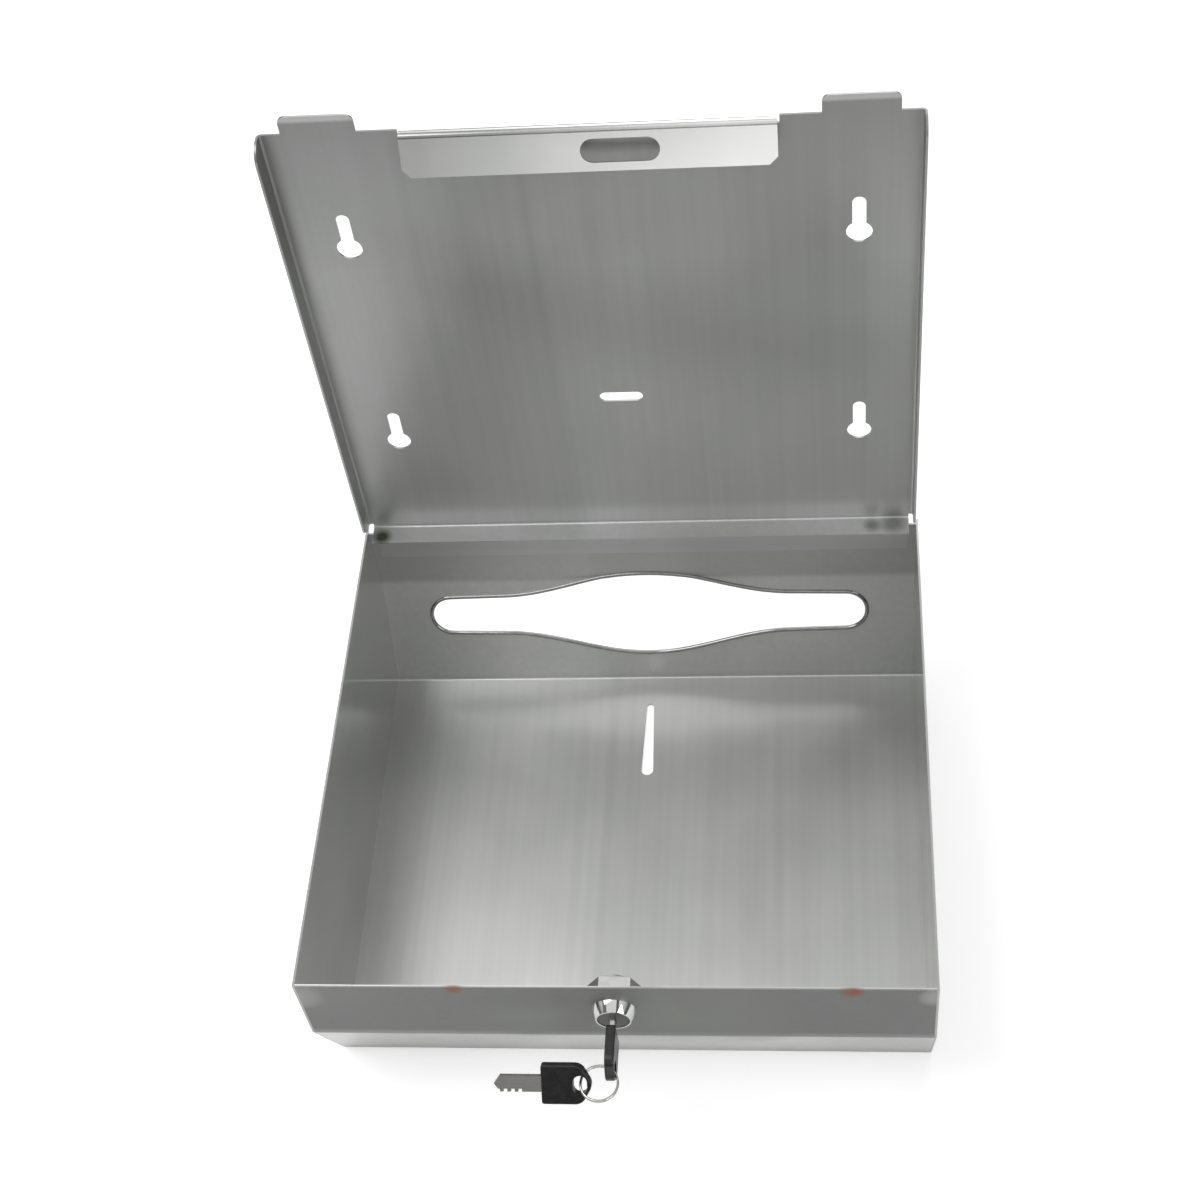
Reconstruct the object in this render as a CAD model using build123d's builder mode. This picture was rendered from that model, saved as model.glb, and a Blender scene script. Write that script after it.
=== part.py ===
from build123d import *
import math
import os

os.makedirs("parts", exist_ok=True)

# A wall-mounted steel dispenser for folded paper towels, drawn with its cover swung open.
# X runs to the right seen from the front, Y towards the wall, Z up.
# The origin is the centre of the wall screw pattern, on the rear face of the back plate.
# A height is measured up from the underside of the closed cover, a depth out from the wall.

# Sheet metal
sheet = 1.0
bend_radius = 1.2

# Cover, as it stands when closed
cover_width = 280.0
cover_height = 259.5
cover_depth = 105.0
lower_fold_depth = 43.0
upper_fold_depth = 46.0
slope_rise = 21.0
rim_gap = 1.5

# Back plate
plate_side_clearance = 0.7
plate_top_clearance = 0.7
plate_flange_depth = 12.0
flange_corner_radius = 8.0
flange_foot_chamfer = 6.0
corner_relief = 0.8
tab_spacing = 224.0
tab_width = 32.0
tab_rise = 9.0
tab_corner_radius = 3.5

# Wall screw keyholes and the level slot
pattern_centre_height = 131.0
screw_spacing_across = 222.0
screw_spacing_up = 125.0
keyhole_entry_radius = 5.7
keyhole_slot_width = 5.9
keyhole_slot_reach = 18.0
level_slot_length = 20.5
level_slot_width = 6.0
level_slot_height = 95.5

# Strike flange at the top of the back plate
strike_width = 156.0
strike_bend_height = 4.0
strike_shelf_depth = 4.6
strike_drop = 18.0
strike_lean = math.radians(17.0)
strike_corner_chamfer = 3.5
strike_slot_length = 33.0
strike_slot_width = 10.5
strike_slot_offset = 13.5

# Hinge
hinge_depth = 1.9
hinge_height = 1.2
hinge_length = 270.0
hinge_knuckle_count = 9
hinge_knuckle_gap = 0.4
hinge_knuckle_radius = 1.7
hinge_pin_radius = 0.8
hinge_pin_clearance = 0.05
hinge_leaf_thickness = 0.8
hinge_swing_clearance = 0.4
hinge_leaf_gap = 0.6
wall_leaf_reach = 11.5
cover_leaf_reach = 22.0

# Towel mouth in the lower slope
mouth_width = 230.0
mouth_end_height = 22.0
mouth_taper = 3.5
mouth_bulge_rise = 25.5
mouth_bulge_width = 150.0
mouth_centre_drop = 22.6
mouth_steps = 14
mouth_cut_reach = 3.0

# Viewing slot in the front panel
view_slot_low = 39.0
view_slot_high = 84.0
view_slot_low_width = 3.8
view_slot_high_width = 6.2

# Cam lock in the top wall
lock_depth = 20.0
bezel_base_radius = 10.2
bezel_face_radius = 7.9
bezel_height = 6.0
bezel_base_thickness = 1.2
bezel_bulge = 0.15
barrel_radius = 9.2
barrel_length = 10.0
barrel_hole_clearance = 0.15
lock_running_clearance = 0.05
plug_face_radius = 7.2
plug_face_depth = 2.2
plug_face_recess = 0.3
plug_radius = 5.0
plug_overhang = 0.3
keyway_width = 2.2
keyway_height = 7.8
keyway_bottom = 8.6
washer_radius = 12.0
washer_thickness = 1.0
nut_sides = 6
nut_across_flats = 24.0
nut_thickness = 7.6
nut_turn = -4.0
nut_chamfer = 0.8

# Wafers in the plug
wafer_count = 5
wafer_pitch = 2.4
wafer_thickness = 0.6
wafer_width = 4.0
wafer_height = 9.2
wafer_slot_clearance = 0.1
wafer_window_clearance = 0.1
first_wafer_inset = 2.6

# Cam and its screw
cam_turn = 90.0
cam_thickness = 1.6
cam_hub_radius = 8.0
cam_width = 10.0
cam_reach = 21.5
cam_square = 6.0
cam_square_clearance = 0.05
cam_washer_radius = 4.6
cam_washer_thickness = 0.7
cam_screw_radius = 1.6
cam_screw_clearance = 0.05
cam_screw_length = 2.6
cam_screw_head_radius = 3.6
cam_screw_head_height = 2.2
cam_screw_slot_width = 0.9
cam_screw_slot_depth = 0.9

# Keys and ring
key_head_length = 22.4
key_head_width = 18.0
key_head_point = 5.0
key_head_thickness = 4.2
key_head_corner = 1.2
key_head_round = 5.0
key_head_edge = 0.7
key_hole_from_point = 5.6
key_hole_length = 6.1
key_hole_width = 8.7
key_blade_length = 20.5
key_blade_width = 7.4
key_blade_thickness = 1.9
key_blade_tip = 2.6
key_tang_length = 8.0
key_tang_clearance = 0.05
key_notch_count = 4
key_notch_depth = 1.3
key_notch_pitch = 3.2
key_stand_off = 6.0
ring_radius = 8.05
ring_wire_radius = 0.5
ring_coil_rise = 0.42
ring_offset = 4.5
spare_key_tilt = math.radians(50.0)

# Values that follow from the ones above
hinge_z = hinge_height - pattern_centre_height
wrap_width = cover_width - 2 * sheet
plate_width = wrap_width - 2 * plate_side_clearance
plate_top = cover_height - sheet - plate_top_clearance
wall_leaf_bottom = sheet + hinge_leaf_thickness + hinge_leaf_gap
plate_bottom = wall_leaf_bottom + hinge_leaf_thickness
outer_bend = bend_radius + sheet
hinge_clear_depth = hinge_depth + hinge_knuckle_radius + hinge_swing_clearance


def plate_z(height):
    """World Z of a height on the back plate, which stands still."""
    return height - pattern_centre_height


def open_y(height):
    """World Y of a height on the cover, which is swung open by a quarter turn."""
    return -hinge_depth - (height - hinge_height)


def open_z(depth):
    """World Z of a depth on the open cover."""
    return hinge_z + hinge_depth - depth


def inset(points, distance):
    """Shift an open run of (depth, height) points to its left by a distance."""
    corners = [Vector(*point) for point in points]
    runs = [end - start for start, end in zip(corners, corners[1:])]
    normals = [Vector(-run.Y, run.X).normalized() for run in runs]
    shifted = [corners[0] + normals[0] * distance]
    for corner, before, after in zip(corners[1:-1], normals, normals[1:]):
        shifted.append(corner + (before + after) * (distance / (1 + before.dot(after))))
    shifted.append(corners[-1] + normals[-1] * distance)
    return [(corner.X, corner.Y) for corner in shifted]


def opened(points):
    """Turn (depth, height) points of the cover into (Y, Z) points of the open cover."""
    return [(open_y(height), open_z(depth)) for depth, height in points]


def mounted(points):
    """Turn (depth, height) points of the back plate into (Y, Z) points."""
    return [(-depth, plate_z(height)) for depth, height in points]


def save(piece, name):
    """Label a finished piece and write it out."""
    piece.part.label = name
    export_step(piece.part, f"parts/{name}.step")


# Back plate: a panel with two side flanges and a bottom flange, bent from one sheet
plan_outline = [
    (-plate_width / 2, -plate_flange_depth),
    (-plate_width / 2, 0),
    (plate_width / 2, 0),
    (plate_width / 2, -plate_flange_depth),
]
foot_outline = [(0, plate_top - strike_bend_height), (0, plate_bottom), (plate_flange_depth, plate_bottom)]
flange_foot = plate_bottom + outer_bend + corner_relief
foot_width = plate_width - 2 * outer_bend - 2 * corner_relief

with BuildPart() as back_plate:
    with BuildSketch(Plane.XY.offset(plate_z(flange_foot))):
        with BuildLine():
            rear = FilletPolyline(*plan_outline, radius=outer_bend)
            front = FilletPolyline(*inset(plan_outline, -sheet), radius=bend_radius)
            Line(rear @ 0, front @ 0)
            Line(rear @ 1, front @ 1)
        make_face()
    extrude(amount=plate_top - flange_foot)
    with BuildSketch(Plane.YZ.offset(-foot_width / 2)):
        with BuildLine():
            under = FilletPolyline(*mounted(foot_outline), radius=outer_bend)
            above = FilletPolyline(*mounted(inset(foot_outline, sheet)), radius=bend_radius)
            Line(under @ 0, above @ 0)
            Line(under @ 1, above @ 1)
        make_face()
    extrude(amount=foot_width)
    front_corners = back_plate.edges().filter_by(Axis.X).group_by(Axis.Y)[0]
    fillet(front_corners.group_by(Axis.Z)[-1], radius=flange_corner_radius)
    flange_feet = back_plate.edges().filter_by(Axis.X).filter_by(
        lambda edge: abs(edge.center().X) > foot_width / 2
    )
    chamfer(flange_feet.group_by(Axis.Y)[0].group_by(Axis.Z)[0], length=flange_foot_chamfer)
    # The tabs stand above the cover's top wall, and its rim closes against them
    with BuildSketch(Plane.XZ):
        with Locations((-tab_spacing / 2, plate_z(plate_top)), (tab_spacing / 2, plate_z(plate_top))):
            RectangleRounded(tab_width, 2 * tab_rise, tab_corner_radius)
    extrude(amount=sheet)
    # The top edge is cut down where the strike flange bends forward
    with BuildSketch(Plane.XZ):
        with Locations((0, plate_z(plate_top))):
            Rectangle(strike_width + 2 * corner_relief, 2 * strike_bend_height)
    extrude(amount=sheet, mode=Mode.SUBTRACT)
    # Keyholes open downwards, so that the plate drops onto its four wall screws
    with BuildSketch(Plane.XZ) as keyholes:
        with GridLocations(screw_spacing_across, screw_spacing_up, 2, 2):
            Circle(keyhole_entry_radius)
        with Locations((0, keyhole_slot_reach / 2)):
            with GridLocations(screw_spacing_across, screw_spacing_up, 2, 2):
                SlotOverall(keyhole_slot_reach + keyhole_slot_width / 2, keyhole_slot_width, rotation=90)
        with Locations((0, plate_z(level_slot_height))):
            SlotOverall(level_slot_length, level_slot_width)
    extrude(amount=sheet, mode=Mode.SUBTRACT)
save(back_plate, "back_plate")

# Strike flange: the top edge bent forward over the lock, with a slot for the cam
strike_foot = strike_drop * math.tan(strike_lean)
strike_outline = [
    (0, plate_top - strike_bend_height),
    (0, plate_top),
    (strike_shelf_depth, plate_top),
    (strike_shelf_depth + strike_foot, plate_top - strike_drop),
]
cam_height = cover_height - barrel_length - plug_overhang - cam_thickness / 2
cam_slot_depth = strike_shelf_depth + (plate_top - cam_height) * math.tan(strike_lean)
strike_plane = Plane(
    origin=(0, -cam_slot_depth, plate_z(cam_height)),
    x_dir=(1, 0, 0),
    z_dir=(0, -math.cos(strike_lean), math.sin(strike_lean)),
)

with BuildPart() as strike_flange:
    with BuildSketch(Plane.YZ.offset(-strike_width / 2)):
        with BuildLine():
            over = FilletPolyline(*mounted(strike_outline), radius=outer_bend)
            inner = FilletPolyline(*mounted(inset(strike_outline, -sheet)), radius=bend_radius)
            Line(over @ 0, inner @ 0)
            Line(over @ 1, inner @ 1)
        make_face()
    extrude(amount=strike_width)
    lower_corners = strike_flange.edges().filter_by(Axis((0, 0, 0), strike_plane.z_dir)).group_by(Axis.Z)[0]
    chamfer(lower_corners, length=strike_corner_chamfer)
    with BuildSketch(strike_plane):
        with Locations((strike_slot_offset, 0)):
            SlotOverall(strike_slot_length, strike_slot_width)
    extrude(amount=2 * sheet, both=True, mode=Mode.SUBTRACT)
save(strike_flange, "strike_flange")

# Hinge: two leaves whose knuckles take turns along one pin
knuckle_pitch = hinge_length / hinge_knuckle_count
knuckle_length = knuckle_pitch - hinge_knuckle_gap
knuckle_centres = [
    (index + 0.5) * knuckle_pitch - hinge_length / 2 for index in range(hinge_knuckle_count)
]
wall_knuckles = knuckle_centres[0::2]
cover_knuckles = knuckle_centres[1::2]
hinge_y = -hinge_depth

with BuildPart() as hinge_leaf_wall:
    with BuildSketch(Plane.YZ.offset(-hinge_length / 2)):
        with Locations((-(hinge_depth + wall_leaf_reach) / 2, plate_z(wall_leaf_bottom))):
            Rectangle(wall_leaf_reach - hinge_depth, hinge_leaf_thickness, align=(Align.CENTER, Align.MIN))
    extrude(amount=hinge_length)
    for centre in cover_knuckles:
        with BuildSketch(Plane.YZ.offset(centre - knuckle_pitch / 2 - hinge_knuckle_gap / 2)):
            with Locations((-hinge_clear_depth / 2, plate_z(wall_leaf_bottom))):
                Rectangle(hinge_clear_depth, 4 * hinge_leaf_thickness)
        extrude(amount=knuckle_pitch + hinge_knuckle_gap, mode=Mode.SUBTRACT)
    for centre in wall_knuckles:
        with BuildSketch(Plane.YZ.offset(centre - knuckle_length / 2)):
            with Locations((hinge_y, hinge_z)):
                Circle(hinge_knuckle_radius)
        extrude(amount=knuckle_length)
    with BuildSketch(Plane.YZ.offset(-hinge_length / 2)):
        with Locations((hinge_y, hinge_z)):
            Circle(hinge_pin_radius + hinge_pin_clearance)
    extrude(amount=hinge_length, mode=Mode.SUBTRACT)
save(hinge_leaf_wall, "hinge_leaf_wall")

with BuildPart() as hinge_leaf_cover:
    with BuildSketch(Plane.YZ.offset(-hinge_length / 2)):
        with Locations((open_y(sheet), open_z(hinge_depth))):
            Rectangle(
                hinge_leaf_thickness, cover_leaf_reach - hinge_depth, align=(Align.MAX, Align.MAX)
            )
    extrude(amount=hinge_length)
    for centre in wall_knuckles:
        with BuildSketch(Plane.YZ.offset(centre - knuckle_pitch / 2 - hinge_knuckle_gap / 2)):
            with Locations((open_y(sheet), open_z(hinge_clear_depth))):
                Rectangle(4 * hinge_leaf_thickness, hinge_clear_depth, align=(Align.CENTER, Align.MIN))
        extrude(amount=knuckle_pitch + hinge_knuckle_gap, mode=Mode.SUBTRACT)
    for centre in cover_knuckles:
        with BuildSketch(Plane.YZ.offset(centre - knuckle_length / 2)):
            with Locations((hinge_y, hinge_z)):
                Circle(hinge_knuckle_radius)
        extrude(amount=knuckle_length)
    with BuildSketch(Plane.YZ.offset(-hinge_length / 2)):
        with Locations((hinge_y, hinge_z)):
            Circle(hinge_pin_radius + hinge_pin_clearance)
    extrude(amount=hinge_length, mode=Mode.SUBTRACT)
save(hinge_leaf_cover, "hinge_leaf_cover")

with BuildPart() as hinge_pin:
    with BuildSketch(Plane.YZ.offset(-hinge_length / 2)):
        with Locations((hinge_y, hinge_z)):
            Circle(hinge_pin_radius)
    extrude(amount=hinge_length)
    chamfer(hinge_pin.edges().filter_by(GeomType.CIRCLE), length=hinge_pin_radius / 4)
save(hinge_pin, "hinge_pin")

# Cover wrap: bottom wall, lower slope, front panel, upper slope and top wall in one sheet
cover_outline = [
    (hinge_clear_depth + hinge_swing_clearance, 0),
    (lower_fold_depth, 0),
    (cover_depth, slope_rise),
    (cover_depth, cover_height - slope_rise),
    (upper_fold_depth, cover_height),
    (rim_gap, cover_height),
]
slope_run = cover_depth - lower_fold_depth
slope_length = math.hypot(slope_run, slope_rise)
mouth_share = mouth_centre_drop / slope_length
mouth_plane = Plane(
    origin=(0, open_y(mouth_share * slope_rise), open_z(lower_fold_depth + mouth_share * slope_run)),
    x_dir=(1, 0, 0),
    z_dir=(0, slope_run / slope_length, -slope_rise / slope_length),
)
view_slot_low_y = open_y(view_slot_low) - view_slot_low_width / 2
view_slot_high_y = open_y(view_slot_high) + view_slot_high_width / 2
view_slot_plane = Plane(origin=(0, 0, open_z(cover_depth)), x_dir=(1, 0, 0), z_dir=(0, 0, 1))
lock_centre = (0, open_y(cover_height), open_z(lock_depth))
lock_plane = Plane(origin=lock_centre, x_dir=(1, 0, 0), z_dir=(0, -1, 0))
lock_section = Plane(origin=lock_centre, x_dir=(0, 0, 1), z_dir=(1, 0, 0))
lock_axis = Axis(lock_centre, (0, -1, 0))


def mouth_half_height(x):
    """Half the height of the towel mouth at a distance from its middle."""
    height = mouth_end_height + mouth_taper * math.cos(math.pi * x / mouth_width)
    if abs(x) < mouth_bulge_width / 2:
        height += mouth_bulge_rise * math.cos(math.pi * x / mouth_bulge_width) ** 2
    return height / 2


mouth_reach = (mouth_width - mouth_end_height) / 2
mouth_stations = [mouth_reach * (2 * step / mouth_steps - 1) for step in range(mouth_steps + 1)]
mouth_above = [(x, mouth_half_height(x)) for x in mouth_stations]
mouth_below = [(x, -height) for x, height in mouth_above]

with BuildSketch(mouth_plane) as mouth_outline:
    with BuildLine():
        Spline(*mouth_above)
        Spline(*mouth_below)
        for end, side in ((0, -1), (-1, 1)):
            ThreePointArc(mouth_above[end], (side * mouth_width / 2, 0), mouth_below[end])
    make_face()

with BuildPart() as cover_shell:
    with BuildSketch(Plane.YZ.offset(-wrap_width / 2)):
        with BuildLine():
            outside = FilletPolyline(*opened(cover_outline), radius=outer_bend)
            inside = FilletPolyline(*opened(inset(cover_outline, sheet)), radius=bend_radius)
            Line(outside @ 0, inside @ 0)
            Line(outside @ 1, inside @ 1)
        make_face()
    extrude(amount=wrap_width)
    with BuildSketch(mouth_plane):
        add(mouth_outline.sketch_local)
    extrude(amount=mouth_cut_reach, both=True, mode=Mode.SUBTRACT)
    with BuildSketch(view_slot_plane):
        with Locations((0, view_slot_low_y)):
            Circle(view_slot_low_width / 2)
        with Locations((0, view_slot_high_y)):
            Circle(view_slot_high_width / 2)
        with BuildLine():
            Polyline(
                (-view_slot_low_width / 2, view_slot_low_y),
                (view_slot_low_width / 2, view_slot_low_y),
                (view_slot_high_width / 2, view_slot_high_y),
                (-view_slot_high_width / 2, view_slot_high_y),
                close=True,
            )
        make_face()
    extrude(amount=sheet, mode=Mode.SUBTRACT)
    with BuildSketch(lock_plane):
        Circle(barrel_radius + barrel_hole_clearance)
    extrude(amount=-sheet, mode=Mode.SUBTRACT)
save(cover_shell, "cover_shell")

# Cover side plates, welded to the ends of the wrap
side_outline = [(rim_gap, 0)] + cover_outline[1:]
for side, plate_x in (("left", -cover_width / 2), ("right", wrap_width / 2)):
    with BuildPart() as cover_side:
        with BuildSketch(Plane.YZ.offset(plate_x)):
            with BuildLine():
                edge_line = FilletPolyline(*opened(side_outline), radius=outer_bend)
                Line(edge_line @ 0, edge_line @ 1)
            make_face()
        extrude(amount=sheet)
    save(cover_side, f"cover_side_{side}")

# Lock body: a domed bezel outside the top wall and a barrel through it
bore_radius = plug_radius + lock_running_clearance
recess_radius = plug_face_radius + lock_running_clearance
recess_floor = bezel_height - plug_face_depth
dome_radius = (bezel_base_radius + bezel_face_radius) / 2 + bezel_bulge
dome_height = (bezel_base_thickness + bezel_height) / 2

with BuildPart() as lock_body:
    with BuildSketch(lock_section):
        with BuildLine():
            Polyline(
                (recess_radius, bezel_height),
                (recess_radius, recess_floor),
                (bore_radius, recess_floor),
                (bore_radius, -barrel_length),
                (barrel_radius, -barrel_length),
                (barrel_radius, 0),
                (bezel_base_radius, 0),
                (bezel_base_radius, bezel_base_thickness),
            )
            ThreePointArc(
                (bezel_base_radius, bezel_base_thickness),
                (dome_radius, dome_height),
                (bezel_face_radius, bezel_height),
            )
            Line((bezel_face_radius, bezel_height), (recess_radius, bezel_height))
        make_face()
    revolve(axis=lock_axis)
save(lock_body, "lock_body")

with BuildPart() as lock_washer:
    with BuildSketch(lock_plane.offset(-sheet)):
        Circle(washer_radius)
        Circle(barrel_radius + barrel_hole_clearance, mode=Mode.SUBTRACT)
    extrude(amount=-washer_thickness)
save(lock_washer, "lock_washer")

with BuildPart() as lock_nut:
    with BuildSketch(lock_plane.offset(-sheet - washer_thickness)):
        RegularPolygon(nut_across_flats / 2, nut_sides, major_radius=False, rotation=nut_turn)
    extrude(amount=-nut_thickness)
    chamfer(lock_nut.faces().sort_by(Axis.Y)[-1].edges(), length=nut_chamfer)
    with BuildSketch(lock_plane.offset(-sheet - washer_thickness)):
        Circle(barrel_radius + lock_running_clearance)
    extrude(amount=-nut_thickness, mode=Mode.SUBTRACT)
save(lock_nut, "lock_nut")

# Plug: turns in the barrel, with a keyway, wafer slots and a square tail for the cam
plug_face = bezel_height - plug_face_recess
plug_shoulder = -barrel_length - plug_overhang
plug_end = plug_shoulder - cam_thickness + cam_square_clearance
wafer_places = [recess_floor - first_wafer_inset - index * wafer_pitch for index in range(wafer_count)]

with BuildPart() as lock_plug:
    with BuildSketch(lock_plane.offset(recess_floor + lock_running_clearance)):
        Circle(plug_face_radius)
    extrude(amount=plug_face - recess_floor - lock_running_clearance)
    with BuildSketch(lock_plane.offset(plug_shoulder)):
        Circle(plug_radius)
    extrude(amount=plug_face - plug_shoulder)
    with BuildSketch(lock_plane.offset(plug_end)):
        Rectangle(cam_square, cam_square)
    extrude(amount=plug_shoulder - plug_end)
    with BuildSketch(lock_plane.offset(-keyway_bottom)):
        Rectangle(keyway_width, keyway_height)
    extrude(amount=keyway_bottom + bezel_height, mode=Mode.SUBTRACT)
    for place in wafer_places:
        with BuildSketch(lock_plane.offset(place - wafer_thickness / 2 - wafer_slot_clearance)):
            Rectangle(wafer_width + 2 * wafer_slot_clearance, 2 * plug_radius)
        extrude(amount=wafer_thickness + 2 * wafer_slot_clearance, mode=Mode.SUBTRACT)
    with BuildSketch(lock_plane.offset(plug_end)):
        Circle(cam_screw_radius + cam_screw_clearance)
    extrude(amount=cam_screw_length, mode=Mode.SUBTRACT)
save(lock_plug, "lock_plug")

with BuildPart() as lock_wafers:
    for place in wafer_places:
        with BuildSketch(lock_plane.offset(place - wafer_thickness / 2)):
            Rectangle(wafer_width, wafer_height)
            Rectangle(
                keyway_width + 2 * wafer_window_clearance,
                keyway_height + 2 * wafer_window_clearance,
                mode=Mode.SUBTRACT,
            )
        extrude(amount=wafer_thickness)
save(lock_wafers, "lock_wafers")

# Cam: when locked its tongue points at the strike slot, and at rest a quarter turn away from it
cam_locked_angle = math.degrees(math.atan2(strike_slot_offset, lock_depth - cam_slot_depth))
cam_straight = cam_reach - cam_width / 2

with BuildPart() as lock_cam:
    with BuildSketch(lock_plane.offset(plug_shoulder)):
        Circle(cam_hub_radius)
        with Locations(Location((0, 0), 90 - cam_locked_angle - cam_turn)):
            with Locations((cam_straight / 2, 0)):
                Rectangle(cam_straight, cam_width)
            with Locations((cam_straight, 0)):
                Circle(cam_width / 2)
        Rectangle(
            cam_square + 2 * cam_square_clearance, cam_square + 2 * cam_square_clearance, mode=Mode.SUBTRACT
        )
    extrude(amount=-cam_thickness)
save(lock_cam, "lock_cam")

cam_back = plug_shoulder - cam_thickness

with BuildPart() as cam_washer:
    with BuildSketch(lock_plane.offset(cam_back)):
        Circle(cam_washer_radius)
        Circle(cam_screw_radius + cam_screw_clearance, mode=Mode.SUBTRACT)
    extrude(amount=-cam_washer_thickness)
save(cam_washer, "cam_washer")

screw_seat = cam_back - cam_washer_thickness
with BuildPart() as cam_screw:
    with BuildSketch(lock_plane.offset(screw_seat)):
        Circle(cam_screw_head_radius)
    extrude(amount=-cam_screw_head_height)
    fillet(cam_screw.edges().group_by(Axis.Y)[-1], radius=cam_screw_head_height / 2)
    with BuildSketch(lock_plane.offset(screw_seat - cam_screw_head_height)):
        Rectangle(2 * cam_screw_head_radius, cam_screw_slot_width)
    extrude(amount=cam_screw_slot_depth, mode=Mode.SUBTRACT)
    with BuildSketch(lock_plane.offset(screw_seat)):
        Circle(cam_screw_radius)
    extrude(amount=cam_washer_thickness + cam_screw_length - cam_screw_clearance)
save(cam_screw, "cam_screw")

# Keys: a plastic head on a steel blade. Each is drawn from the ring hole towards the blade
head_end = key_head_length - key_hole_from_point
blade_end = head_end + key_blade_length
head_shoulder = key_head_point - key_hole_from_point
hole_y = lock_centre[1] - bezel_height - key_stand_off - head_end
key_plane = Plane(origin=(0, hole_y, lock_centre[2]), x_dir=(0, 1, 0), z_dir=(1, 0, 0))
ring_reach = math.sqrt(ring_radius**2 - ring_offset**2)
ring_centre = (-ring_offset, hole_y - ring_reach, lock_centre[2])
spare_key_plane = Plane(
    origin=(ring_centre[0] - ring_radius, ring_centre[1], ring_centre[2]),
    x_dir=(-1, 0, 0),
    z_dir=(0, -math.sin(spare_key_tilt), math.cos(spare_key_tilt)),
)
notch_places = [
    head_end + key_stand_off + (index + 1) * key_notch_pitch for index in range(key_notch_count)
]

for prefix, plane in (("key", key_plane), ("spare_key", spare_key_plane)):
    with BuildPart() as key_blade:
        with BuildSketch(plane.offset(-key_blade_thickness / 2)):
            with BuildLine():
                Polyline(
                    (head_end - key_tang_length, key_blade_width / 2),
                    (blade_end - key_blade_tip, key_blade_width / 2),
                    (blade_end, 0),
                    (blade_end - key_blade_tip, -key_blade_width / 2),
                    (head_end - key_tang_length, -key_blade_width / 2),
                    close=True,
                )
            make_face()
            with Locations(*[(place, key_blade_width / 2) for place in notch_places]):
                Rectangle(key_notch_pitch / 2, 2 * key_notch_depth, mode=Mode.SUBTRACT)
        extrude(amount=key_blade_thickness)
    save(key_blade, f"{prefix}_blade")

    with BuildPart() as key_head:
        with BuildSketch(plane.offset(-key_head_thickness / 2)) as head_sketch:
            with BuildLine():
                Polyline(
                    (-key_hole_from_point, 0),
                    (head_shoulder, key_head_width / 2),
                    (head_end, key_head_width / 2),
                    (head_end, -key_head_width / 2),
                    (head_shoulder, -key_head_width / 2),
                    close=True,
                )
            make_face()
            fillet(head_sketch.vertices().sort_by(Axis.X)[:3], radius=key_head_round)
            fillet(head_sketch.vertices().sort_by(Axis.X)[-2:], radius=key_head_corner)
        extrude(amount=key_head_thickness)
        flat_faces = key_head.faces().filter_by(Plane(plane.origin, z_dir=plane.z_dir))
        fillet(flat_faces.edges(), radius=key_head_edge)
        with BuildSketch(plane.offset(-key_head_thickness / 2)):
            SlotOverall(key_hole_width, key_hole_length, rotation=90)
        extrude(amount=key_head_thickness, mode=Mode.SUBTRACT)
        with BuildSketch(plane.offset(-key_blade_thickness / 2 - key_tang_clearance)):
            with Locations((head_end, 0)):
                Rectangle(
                    2 * (key_tang_length + key_tang_clearance), key_blade_width + 2 * key_tang_clearance
                )
        extrude(amount=key_blade_thickness + 2 * key_tang_clearance, mode=Mode.SUBTRACT)
    save(key_head, f"{prefix}_head")

# Split ring: two turns of wire lying on each other
ring_section = Plane(origin=ring_centre, x_dir=(1, 0, 0), z_dir=(0, -1, 0))
with BuildPart() as key_ring:
    with BuildSketch(ring_section):
        with Locations((ring_radius, ring_coil_rise), (ring_radius, -ring_coil_rise)):
            Circle(ring_wire_radius)
    revolve(axis=Axis(ring_centre, (0, 0, 1)))
save(key_ring, "key_ring")
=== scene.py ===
import math

import bpy
from mathutils import Matrix, Vector


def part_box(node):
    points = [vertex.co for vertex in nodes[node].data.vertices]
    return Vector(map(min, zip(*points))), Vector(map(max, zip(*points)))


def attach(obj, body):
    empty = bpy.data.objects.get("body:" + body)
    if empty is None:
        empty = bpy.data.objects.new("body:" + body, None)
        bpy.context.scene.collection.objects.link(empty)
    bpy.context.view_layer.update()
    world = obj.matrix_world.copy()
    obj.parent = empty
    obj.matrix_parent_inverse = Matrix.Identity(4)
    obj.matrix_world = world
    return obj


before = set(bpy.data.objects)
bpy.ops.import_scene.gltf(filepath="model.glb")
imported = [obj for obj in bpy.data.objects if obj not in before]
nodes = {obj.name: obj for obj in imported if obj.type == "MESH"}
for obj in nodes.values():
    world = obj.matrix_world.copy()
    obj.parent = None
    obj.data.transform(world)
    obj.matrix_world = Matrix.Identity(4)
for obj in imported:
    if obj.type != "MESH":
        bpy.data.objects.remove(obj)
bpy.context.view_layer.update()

MM = 0.001
IMAGE_SIZE = 1200.0
SENSOR_WIDTH = 36.0

# Camera, fitted to the photograph
CAMERA_PLACE = Vector((98.246, -672.859, 672.52)) * MM
CAMERA_RIGHT = Vector((0.993705, 0.056533, -0.096722))
CAMERA_UP = Vector((0.014485, 0.791267, 0.611299))
CAMERA_BACK = Vector((0.111091, -0.608851, 0.785467))
FOCAL_PIXELS = 2076.96
PRINCIPAL_POINT = (602.53, 603.82)

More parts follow.
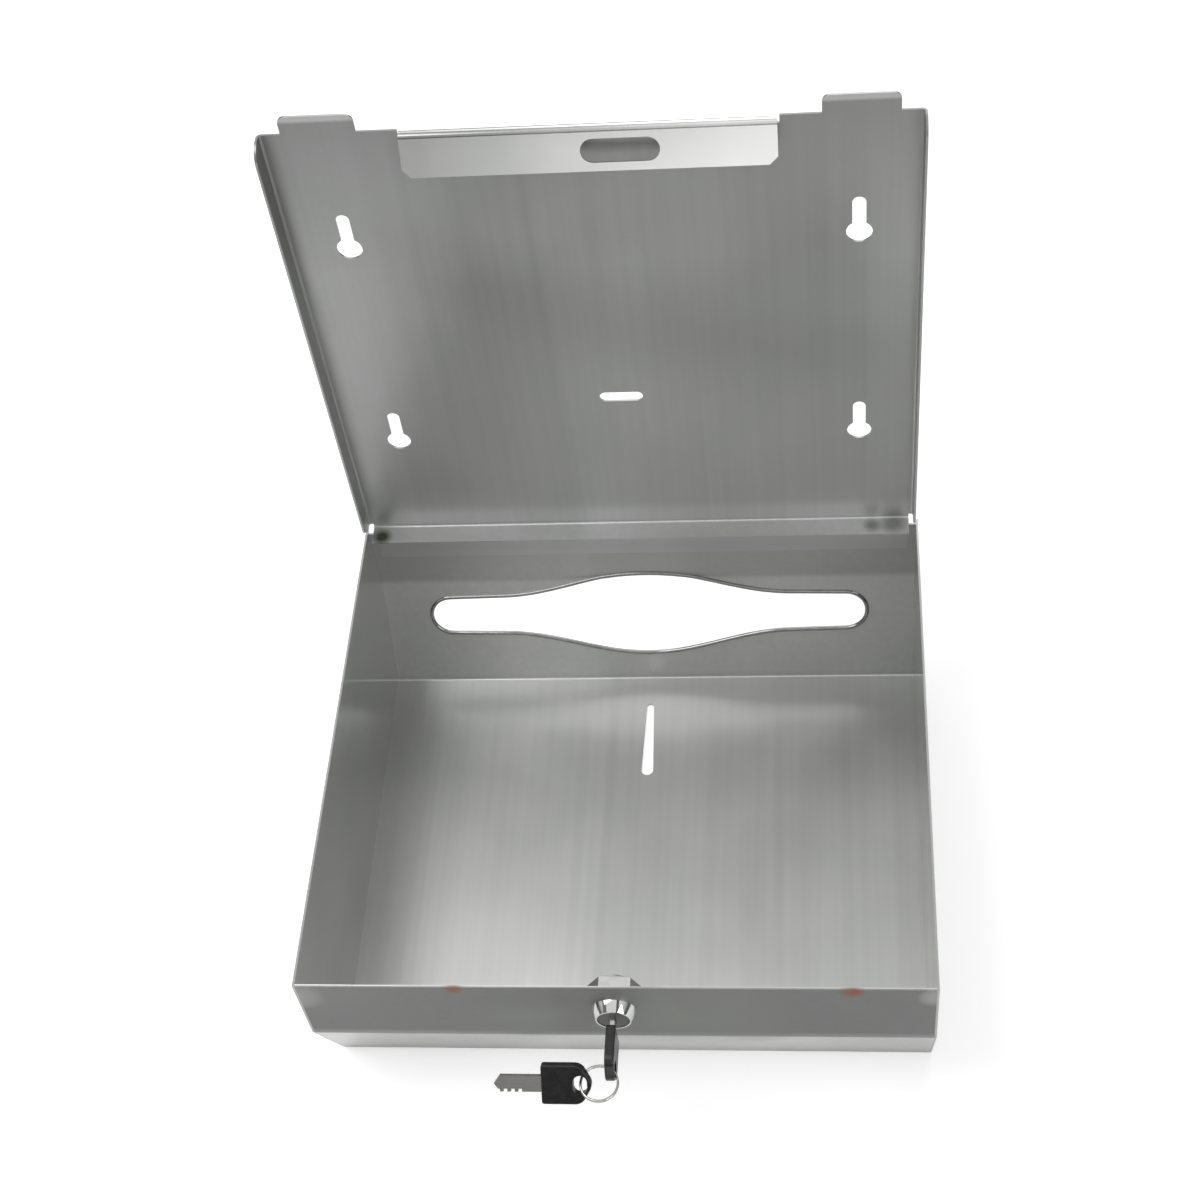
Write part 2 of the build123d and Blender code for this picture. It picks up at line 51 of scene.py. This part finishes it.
# Sizes that the trim pieces share with the frame
SHEET = 1.0 * MM
MOUTH_WIDTH = 230.0 * MM
MOUTH_END_HEIGHT = 22.0 * MM
MOUTH_TAPER = 3.5 * MM
MOUTH_BULGE_RISE = 25.5 * MM
MOUTH_BULGE_WIDTH = 150.0 * MM
MOUTH_CENTRE_DROP = 22.6 * MM
SLOPE_RUN = 62.0 * MM
SLOPE_RISE = 21.0 * MM
LOWER_FOLD_DEPTH = 43.0 * MM
FOLD_LINE_INSET = 1.5 * MM
LIP_RADIUS = 1.1 * MM
LIP_STEPS = 64
LIP_CORNER_STEPS = 16
LOCK_FACE_RADIUS = 7.2 * MM
LOCK_FACE_RING_PITCH = 0.35 * MM

scene = bpy.context.scene
scene.view_settings.view_transform = "Standard"


def make_camera():
    """The camera of the photograph."""
    data = bpy.data.cameras.new("photo_camera")
    camera = bpy.data.objects.new("photo_camera", data)
    scene.collection.objects.link(camera)
    turn = Matrix((CAMERA_RIGHT, CAMERA_UP, CAMERA_BACK)).transposed().to_4x4()
    camera.matrix_world = Matrix.Translation(CAMERA_PLACE) @ turn
    data.sensor_width = SENSOR_WIDTH
    data.lens = FOCAL_PIXELS * SENSOR_WIDTH / IMAGE_SIZE
    data.shift_x = -(PRINCIPAL_POINT[0] / IMAGE_SIZE - 0.5)
    data.shift_y = PRINCIPAL_POINT[1] / IMAGE_SIZE - 0.5
    data.clip_start = 0.05
    scene.camera = camera


make_camera()


class Shader:
    """A material's node tree with short calls for the nodes it uses."""

    def __init__(self, name):
        self.material = bpy.data.materials.new(name)
        self.material.use_nodes = True
        self.tree = self.material.node_tree
        self.surface = self.tree.nodes["Principled BSDF"]
        self.place = self.add("ShaderNodeTexCoord").outputs["Object"]

    def add(self, kind, **settings):
        node = self.tree.nodes.new(kind)
        for key, value in settings.items():
            setattr(node, key, value)
        return node

    def link(self, source, target):
        self.tree.links.new(source, target)

    def set(self, **values):
        """Constants on the surface's own sockets."""
        for key, value in values.items():
            self.surface.inputs[key.replace("_", " ")].default_value = value

    def mapped(self, scale, turn=(0, 0, 0)):
        """The object's coordinates, stretched."""
        mapping = self.add("ShaderNodeMapping")
        mapping.inputs["Scale"].default_value = scale
        mapping.inputs["Rotation"].default_value = turn
        self.link(self.place, mapping.inputs["Vector"])
        return mapping.outputs["Vector"]

    def noise(self, scale, detail=3.0, rough=0.55, stretch=(1, 1, 1), turn=(0, 0, 0), warp=0.0):
        node = self.add("ShaderNodeTexNoise")
        node.inputs["Scale"].default_value = scale
        node.inputs["Detail"].default_value = detail
        node.inputs["Roughness"].default_value = rough
        node.inputs["Distortion"].default_value = warp
        self.link(self.mapped(stretch, turn), node.inputs["Vector"])
        return node.outputs["Fac"]

    def spread(self, value, low, high, to_low, to_high):
        """A value moved from one span to another and held inside it."""
        node = self.add("ShaderNodeMapRange")
        limits = {"From Min": low, "From Max": high, "To Min": to_low, "To Max": to_high}
        for key, number in limits.items():
            node.inputs[key].default_value = number
        self.link(value, node.inputs["Value"])
        return node.outputs["Result"]

    def math(self, operation, first, second):
        node = self.add("ShaderNodeMath", operation=operation)
        for slot, value in zip(node.inputs, (first, second)):
            if isinstance(value, (int, float)):
                slot.default_value = value
            else:
                self.link(value, slot)
        return node.outputs["Value"]

    def mix(self, factor, first, second):
        """Two colours, or a colour over a mixed one."""
        node = self.add("ShaderNodeMix", data_type="RGBA")
        if isinstance(factor, (int, float)):
            node.inputs["Factor"].default_value = factor
        else:
            self.link(factor, node.inputs["Factor"])
        for slot, value in ((node.inputs[6], first), (node.inputs[7], second)):
            if isinstance(value, tuple):
                slot.default_value = (*value, 1.0)
            else:
                self.link(value, slot)
        return node.outputs[2]

    def scaled(self, colour, factor):
        """A colour made lighter or darker."""
        node = self.add("ShaderNodeVectorMath", operation="SCALE")
        self.link(colour, node.inputs[0])
        self.link(factor, node.inputs["Scale"])
        return node.outputs["Vector"]

    def axis(self, name):
        """One of the object's coordinates."""
        split = self.add("ShaderNodeSeparateXYZ")
        self.link(self.place, split.inputs["Vector"])
        return split.outputs[name]

    def spot(self, centre, radius, soft):
        """1 within a radius of a point, falling to 0 over the soft edge."""
        gap = self.add("ShaderNodeVectorMath", operation="DISTANCE")
        self.link(self.place, gap.inputs[0])
        gap.inputs[1].default_value = centre
        return self.spread(gap.outputs["Value"], radius, radius + soft, 1.0, 0.0)

    def bump(self, *layers):
        """Height layers of (value, strength, distance in metres), one over the other."""
        normal = None
        for value, strength, distance in layers:
            node = self.add("ShaderNodeBump")
            node.inputs["Strength"].default_value = strength
            node.inputs["Distance"].default_value = distance
            self.link(value, node.inputs["Height"])
            if normal is not None:
                self.link(normal, node.inputs["Normal"])
            normal = node.outputs["Normal"]
        self.link(normal, self.surface.inputs["Normal"])


SHEET_METALLIC = 0.82
HAZE_TINT = (0.46, 0.50, 0.465)


def steel(name, light, dark, grain, low_rough, high_rough, marks=(), painted_shading=(), dull=()):
    """Mill finished stainless sheet: fine rolled grain, soft blotches, smudges and burn marks, with
    painted light and shade laid on by place.
    """
    s = Shader(name)
    s.set(Metallic=SHEET_METALLIC)
    blotch = s.noise(6.0, detail=1.0, rough=0.4, warp=0.4)
    haze = s.noise(14.0, detail=2.0, rough=0.5, warp=0.3)
    lines = s.noise(260.0, detail=1.0, rough=0.5, stretch=grain)
    smudge = s.noise(22.0, detail=1.0, rough=0.4, warp=0.3)
    colour = s.mix(s.spread(blotch, 0.36, 0.64, 0.0, 1.0), dark, light)
    colour = s.mix(s.spread(haze, 0.45, 0.80, 0.0, 0.45), colour, HAZE_TINT)
    colour = s.scaled(colour, s.spread(lines, 0.25, 0.75, 0.97, 1.03))
    # Painted light and shade: the colour made lighter or darker by place along one axis
    for axis, start, end, low, high in painted_shading:
        colour = s.scaled(colour, s.spread(s.axis(axis), start, end, low, high))
    # Marks over the colour, some real and some painted dark reflection
    for centre, radius, soft, mark in marks:
        patch = s.math("MULTIPLY", s.spot(centre, radius, soft), s.spread(smudge, 0.40, 0.6, 0.3, 1.0))
        colour = s.mix(patch, colour, mark)
    s.link(colour, s.surface.inputs["Base Color"])
    rough = s.spread(blotch, 0.35, 0.65, low_rough, high_rough)
    rough = s.math("ADD", rough, s.spread(smudge, 0.45, 0.75, 0.0, 0.05))
    rough = s.math("ADD", rough, s.spread(lines, 0.3, 0.7, -0.012, 0.012))
    for axis, start, end, low, high in dull:
        rough = s.math("ADD", rough, s.spread(s.axis(axis), start, end, low, high))
    s.link(rough, s.surface.inputs["Roughness"])
    s.bump((smudge, 0.08, 0.0004))
    return s.material


def plated(name, colour, worn, low_rough, high_rough, scratch=700.0):
    """Plated or polished metal with fine scratches and duller worn patches."""
    s = Shader(name)
    s.set(Metallic=1.0)
    wear = s.noise(160.0, detail=4.0, rough=0.65)
    fine = s.noise(scratch, detail=2.0, rough=0.6, stretch=(1.0, 0.12, 0.35), turn=(0.3, 0.2, 0.7))
    s.link(s.mix(s.spread(wear, 0.45, 0.7, 0.0, 0.7), colour, worn), s.surface.inputs["Base Color"])
    s.link(s.spread(wear, 0.35, 0.7, low_rough, high_rough), s.surface.inputs["Roughness"])
    s.bump((wear, 0.10, 0.00004), (fine, 0.08, 0.00002))
    return s.material


def black_plastic(name):
    """Glossy moulded plastic with faint orange peel and dust."""
    s = Shader(name)
    s.set(Specular_IOR_Level=0.5, Coat_Weight=0.25, Coat_Roughness=0.12)
    peel = s.noise(900.0, detail=2.0)
    dust = s.noise(260.0, detail=5.0, rough=0.75)
    colour = s.mix(s.spread(dust, 0.55, 0.8, 0.0, 0.5), (0.006, 0.006, 0.007), (0.03, 0.03, 0.031))
    s.link(colour, s.surface.inputs["Base Color"])
    s.link(s.spread(dust, 0.4, 0.75, 0.22, 0.42), s.surface.inputs["Roughness"])
    s.bump((peel, 0.12, 0.00004))
    return s.material


def lock_face(name, centre, radius):
    """The dark face plate of the plug, turned in fine rings."""
    s = Shader(name)
    s.set(Metallic=1.0)
    gap = s.add("ShaderNodeVectorMath", operation="DISTANCE")
    s.link(s.place, gap.inputs[0])
    gap.inputs[1].default_value = centre
    phase = s.math("MULTIPLY", gap.outputs["Value"], 2 * math.pi / LOCK_FACE_RING_PITCH)
    rings = s.math("SINE", phase, 0.0)
    grit = s.noise(1400.0, detail=3.0, rough=0.7)
    edge = s.spread(gap.outputs["Value"], 0.86 * radius, radius, 0.0, 0.6)
    colour = s.mix(s.spread(grit, 0.35, 0.65, 0.0, 1.0), (0.10, 0.105, 0.10), (0.20, 0.205, 0.20))
    s.link(s.mix(edge, colour, (0.03, 0.03, 0.03)), s.surface.inputs["Base Color"])
    s.link(s.spread(grit, 0.3, 0.7, 0.34, 0.5), s.surface.inputs["Roughness"])
    s.bump((grit, 0.2, 0.00005), (rings, 0.12, 0.00002))
    return s.material


plate_low, plate_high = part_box("back_plate")
cover_low, cover_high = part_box("cover_shell")
bezel_low, bezel_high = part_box("lock_body")

BURN = (0.09, 0.085, 0.07)
CHALK = (0.85, 0.85, 0.84)
RUST = (0.34, 0.10, 0.05)
# Painted dark reflection: the grey of soft patches on the cover's front wall
DARK_REFLECTION = (0.30, 0.31, 0.29)

# Marks on the sheets, and painted dark reflection on the cover's front wall: centre, radius, width of
# the soft edge, colour
flange_z = plate_low[2] + SHEET
burns = (
    (Vector((plate_high[0] - 11 * MM, -5 * MM, flange_z)), 2.5 * MM, 5 * MM, BURN),
    (Vector((plate_high[0] - 21 * MM, -6 * MM, flange_z)), 1.5 * MM, 4 * MM, BURN),
    (Vector((plate_low[0] + 8 * MM, -8 * MM, flange_z)), 2.0 * MM, 4 * MM, BURN),
)
rim_y = cover_low[1]
rim_z = cover_high[2]
cover_marks_and_painted_reflection = (
    (Vector((-69 * MM, rim_y, rim_z - 1.5 * MM)), 2.0 * MM, 3 * MM, RUST),
    (Vector((103 * MM, rim_y, rim_z - 2.0 * MM)), 2.0 * MM, 4 * MM, RUST),
    # Painted dark reflection: two soft grey patches on the front wall's outer face
    (Vector((32 * MM, rim_y, rim_z - 26 * MM)), 8 * MM, 46 * MM, DARK_REFLECTION),
    (Vector((-40 * MM, rim_y, rim_z - 34 * MM)), 2 * MM, 26 * MM, DARK_REFLECTION),
    (Vector((cover_low[0], rim_y + 6 * MM, rim_z - 9 * MM)), 4 * MM, 10 * MM, CHALK),
    (Vector((cover_high[0], rim_y + 7 * MM, rim_z - 7 * MM)), 3 * MM, 8 * MM, CHALK),
)

# Painted light and shade on the sheets, each made lighter or darker by place with soft edges: axis,
# from, to, then the share of the colour at each end
# Plate: painted shade towards the top, painted highlight on the top edge, painted light near the bottom
plate_painted_shading = (
    ("X", -30 * MM, -24 * MM, 0.93, 1.0),
    ("Z", 50 * MM, 128 * MM, 1.04, 0.66),
    ("Z", -118 * MM, -112 * MM, 1.15, 1.0),
    ("Z", 132.2 * MM, 133.6 * MM, 1.0, 1.7),
)
# Cover: painted highlight on the rim's top edge, painted dark reflection on the front wall's outer face,
# and painted light and shade along its depth and height
cover_painted_shading = (
    ("X", -29 * MM, -26 * MM, 1.05, 1.0),
    ("Z", rim_z - 0.5 * MM, rim_z - 0.2 * MM, 1.0, 1.4),
    ("Y", rim_y + 0.4 * MM, rim_y + 0.7 * MM, 0.46, 1.0),
    ("Y", -246 * MM, -238 * MM, 1.22, 1.0),
    ("Y", -210 * MM, -60 * MM, 1.22, 0.93),
    ("Y", -24 * MM, -21 * MM, 1.0, 1.32),
    ("Z", -173 * MM, -170 * MM, 1.0, 0.72),
)
# Strike: painted shade, darker towards the left
strike_painted_shading = (
    ("X", -70 * MM, 60 * MM, 0.50, 1.10),
)

# Roughness added on the outer face of the top wall, laid out like the painted light and shade
cover_dull = (
    ("Y", rim_y + 0.4 * MM, rim_y + 0.7 * MM, 0.24, 0.0),
)

# The rolled grain: noise drawn out along one axis
GRAIN_STRETCH = 0.012
ALONG_X = (GRAIN_STRETCH, 1.0, 1.0)
ALONG_Y = (1.0, GRAIN_STRETCH, 1.0)
ALONG_Z = (1.0, 1.0, GRAIN_STRETCH)

lock_face_centre = Vector((0, bezel_low[1], (bezel_low[2] + bezel_high[2]) / 2))

finishes = {
    "back_plate": steel(
        "plate_steel", (0.53, 0.53, 0.53), (0.44, 0.445, 0.435), ALONG_Z, 0.31, 0.38,
        marks=burns, painted_shading=plate_painted_shading,
    ),
    "strike_flange": steel(
        "strike_steel", (0.80, 0.80, 0.79), (0.70, 0.70, 0.69), ALONG_X, 0.10, 0.18,
        painted_shading=strike_painted_shading,
    ),
    "cover_shell": steel(
        "cover_steel", (0.60, 0.60, 0.595), (0.53, 0.53, 0.525), ALONG_Y, 0.30, 0.36,
        marks=cover_marks_and_painted_reflection, painted_shading=cover_painted_shading, dull=cover_dull,
    ),
    "cover_side_left": steel("side_steel", (0.60, 0.60, 0.59), (0.53, 0.535, 0.53), ALONG_Y, 0.08, 0.15),
    "hinge_leaf_wall": steel("hinge_steel", (0.62, 0.61, 0.62), (0.5, 0.49, 0.5), ALONG_X, 0.31, 0.40),
    "lock_body": plated("lock_chrome", (0.82, 0.82, 0.82), (0.68, 0.68, 0.68), 0.04, 0.12),
    "lock_washer": plated("washer_zinc", (0.45, 0.45, 0.44), (0.33, 0.33, 0.32), 0.31, 0.45),
    "lock_plug": lock_face("lock_face", lock_face_centre, LOCK_FACE_RADIUS),
    "lock_wafers": plated("wafer_brass", (0.60, 0.42, 0.16), (0.42, 0.29, 0.12), 0.31, 0.4),
    "lock_cam": plated("cam_zinc", (0.48, 0.48, 0.46), (0.36, 0.36, 0.33), 0.31, 0.42),
    "key_blade": plated("key_nickel", (0.70, 0.69, 0.66), (0.52, 0.51, 0.48), 0.12, 0.24),
    "key_head": black_plastic("key_plastic"),
    "mouth_lip": plated("lip_steel", (0.40, 0.40, 0.395), (0.28, 0.28, 0.275), 0.06, 0.16),
    "key_ring": plated("ring_nickel", (0.62, 0.61, 0.59), (0.46, 0.45, 0.43), 0.08, 0.2),
}

# Nodes that wear another node's finish
shared = {
    "cover_side_right": "cover_side_left",
    "hinge_leaf_cover": "hinge_leaf_wall",
    "hinge_pin": "hinge_leaf_wall",
    "lock_nut": "lock_body",
    "cam_washer": "lock_cam",
    "cam_screw": "lock_cam",
    "spare_key_blade": "key_blade",
    "spare_key_head": "key_head",
}

for name, node in nodes.items():
    finish = finishes[shared.get(name, name)]
    if not node.material_slots:
        node.data.materials.append(finish)
    for place in node.material_slots:
        place.material = finish


def mouth_half_height(x):
    """Half the height of the towel mouth at a distance from its middle."""
    height = MOUTH_END_HEIGHT + MOUTH_TAPER * math.cos(math.pi * x / MOUTH_WIDTH)
    if abs(x) < MOUTH_BULGE_WIDTH / 2:
        height += MOUTH_BULGE_RISE * math.cos(math.pi * x / MOUTH_BULGE_WIDTH) ** 2
    return height / 2


def mouth_outline():
    """The mouth's outline as (across, down the slope) points, round from the upper left."""
    reach = (MOUTH_WIDTH - MOUTH_END_HEIGHT) / 2
    end_half_height = mouth_half_height(reach)
    upper = []
    for step in range(LIP_STEPS + 1):
        x = reach * (2 * step / LIP_STEPS - 1)
        upper.append((x, -mouth_half_height(x)))
    right = []
    for index in range(1, LIP_CORNER_STEPS):
        turn = math.pi * index / LIP_CORNER_STEPS
        x = reach + (MOUTH_WIDTH / 2 - reach) * math.sin(turn)
        right.append((x, -end_half_height * math.cos(turn)))
    lower = [(x, -y) for x, y in reversed(upper)]
    left = [(-x, -y) for x, y in right]
    return upper + right + lower + left


def make_mouth_lip():
    """The rolled lip round the towel mouth, a thin bead on the inside of the slope."""
    slope = Vector((0, -SLOPE_RISE, -SLOPE_RUN)).normalized()
    inward = Vector((0, -SLOPE_RUN, SLOPE_RISE)).normalized()
    fold = Vector((0, cover_high[1], cover_high[2] + FOLD_LINE_INSET - LOWER_FOLD_DEPTH))
    centre = fold + slope * MOUTH_CENTRE_DROP + inward * SHEET
    data = bpy.data.curves.new("mouth_lip", "CURVE")
    data.dimensions = "3D"
    data.bevel_depth = LIP_RADIUS
    data.bevel_resolution = 3
    outline = mouth_outline()
    line = data.splines.new("POLY")
    line.points.add(len(outline) - 1)
    for point, (across, down) in zip(line.points, outline):
        spot = centre + Vector((across, 0, 0)) + slope * down
        spot.y = min(spot.y, cover_high[1] - SHEET)
        point.co = (*spot, 1.0)
    line.use_cyclic_u = True
    data.materials.append(finishes["mouth_lip"])
    lip = bpy.data.objects.new("mouth_lip", data)
    scene.collection.objects.link(lip)
    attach(lip, "cover")


make_mouth_lip()


FLOOR_REACH = 6.0
FLOOR_DROP = 0.3 * MM
FLOOR_GREY = 0.86
FLOOR_GLOW_NEAR = 0.42
FLOOR_GLOW_FAR = 1.0
MIRRORED_GLOW = 0.75


def floor_material():
    """A pale floor that stays white to the camera and keeps the object's shadow."""
    s = Shader("floor")
    s.set(Base_Color=(FLOOR_GREY, FLOOR_GREY, FLOOR_GREY, 1.0), Roughness=0.9, Specular_IOR_Level=0.1)
    glow = s.add("ShaderNodeEmission")
    seen = s.add("ShaderNodeLightPath")
    gap = s.add("ShaderNodeVectorMath", operation="LENGTH")
    s.link(s.place, gap.inputs[0])
    paler = s.spread(gap.outputs["Value"], 1.2, 2.4, FLOOR_GLOW_NEAR, FLOOR_GLOW_FAR)
    direct = s.math("MULTIPLY", seen.outputs["Is Camera Ray"], paler)
    away = s.spread(s.axis("Y"), -1.0, -0.6, MIRRORED_GLOW, 0.0)
    mirrored = s.math("MULTIPLY", seen.outputs["Is Glossy Ray"], away)
    s.link(s.math("ADD", direct, mirrored), glow.inputs["Strength"])
    total = s.add("ShaderNodeAddShader")
    s.link(s.surface.outputs[0], total.inputs[0])
    s.link(glow.outputs[0], total.inputs[1])
    s.link(total.outputs[0], s.tree.nodes["Material Output"].inputs["Surface"])
    return s.material


def make_floor():
    """One square that the cover lies on."""
    reach = FLOOR_REACH
    level = cover_low[2] - FLOOR_DROP
    data = bpy.data.meshes.new("floor")
    corners = [
        (-reach, -reach, level),
        (reach, -reach, level),
        (reach, reach, level),
        (-reach, reach, level),
    ]
    data.from_pydata(corners, [], [(0, 1, 2, 3)])
    data.materials.append(floor_material())
    floor = bpy.data.objects.new("floor", data)
    scene.collection.objects.link(floor)


# Brightness of the studio by height: the sine of the elevation, then the level
SKY = ((0.02, 0.35), (0.10, 0.15), (0.22, 0.15), (0.34, 0.50), (0.60, 0.70), (0.95, 0.72))

# Light and dark panels of the studio from left to right: the sideways share, then the level
PANELS = (
    (-0.98, 0.9), (-0.82, 0.9), (-0.78, 0.25), (-0.58, 0.25), (-0.54, 1.0), (-0.30, 1.0),
    (0.26, 1.05), (0.30, 0.15), (0.46, 0.15), (0.50, 1.0), (0.86, 0.8), (0.98, 0.6),
)


def make_world():
    """White to the camera; a soft studio gradient for the light and the reflections."""
    world = bpy.data.worlds.new("studio")
    scene.world = world
    world.use_nodes = True
    tree = world.node_tree
    lit = tree.nodes["Background"]
    place = tree.nodes.new("ShaderNodeTexCoord")
    split = tree.nodes.new("ShaderNodeSeparateXYZ")
    tree.links.new(place.outputs["Generated"], split.inputs["Vector"])
    ramp = tree.nodes.new("ShaderNodeValToRGB")
    for place_up, level in SKY:
        stop = ramp.color_ramp.elements.new(place_up)
        stop.color = (level, level, level, 1)
    tree.links.new(split.outputs["Z"], ramp.inputs["Fac"])
    across = tree.nodes.new("ShaderNodeValToRGB")
    shifted = tree.nodes.new("ShaderNodeMapRange")
    shifted.inputs["From Min"].default_value = -1.0
    tree.links.new(split.outputs["X"], shifted.inputs["Value"])
    tree.links.new(shifted.outputs["Result"], across.inputs["Fac"])
    for place_across, level in PANELS:
        stop = across.color_ramp.elements.new((place_across + 1) / 2)
        stop.color = (level, level, level, 1)
    product = tree.nodes.new("ShaderNodeMix")
    product.data_type = "RGBA"
    product.blend_type = "MULTIPLY"
    product.inputs["Factor"].default_value = 1.0
    tree.links.new(ramp.outputs["Color"], product.inputs[6])
    tree.links.new(across.outputs["Color"], product.inputs[7])
    tree.links.new(product.outputs[2], lit.inputs["Color"])
    lit.inputs["Strength"].default_value = 1.0
    white = tree.nodes.new("ShaderNodeBackground")
    white.inputs["Color"].default_value = (1, 1, 1, 1)
    path = tree.nodes.new("ShaderNodeLightPath")
    mix = tree.nodes.new("ShaderNodeMixShader")
    tree.links.new(path.outputs["Is Camera Ray"], mix.inputs["Fac"])
    tree.links.new(lit.outputs[0], mix.inputs[1])
    tree.links.new(white.outputs[0], mix.inputs[2])
    tree.links.new(mix.outputs[0], tree.nodes["World Output"].inputs["Surface"])


def make_light(name, place, target, size, power):
    """A rectangular lamp that faces the target."""
    data = bpy.data.lights.new(name, "AREA")
    data.shape = "RECTANGLE"
    data.size, data.size_y = size
    data.energy = power
    light = bpy.data.objects.new(name, data)
    scene.collection.objects.link(light)
    light.location = place
    light.rotation_euler = (Vector(target) - Vector(place)).to_track_quat("-Z", "Y").to_euler()


make_floor()
make_world()
AIM = (0.0, -0.13, -0.1)
make_light("key_light", (-0.9, -0.2, 1.5), AIM, (1.2, 1.2), 14.0)
make_light("fill_light", (1.2, -1.4, 0.9), AIM, (1.0, 1.0), 7.0)
make_light("back_light", (0.2, 1.4, 1.0), AIM, (1.6, 0.6), 6.0)
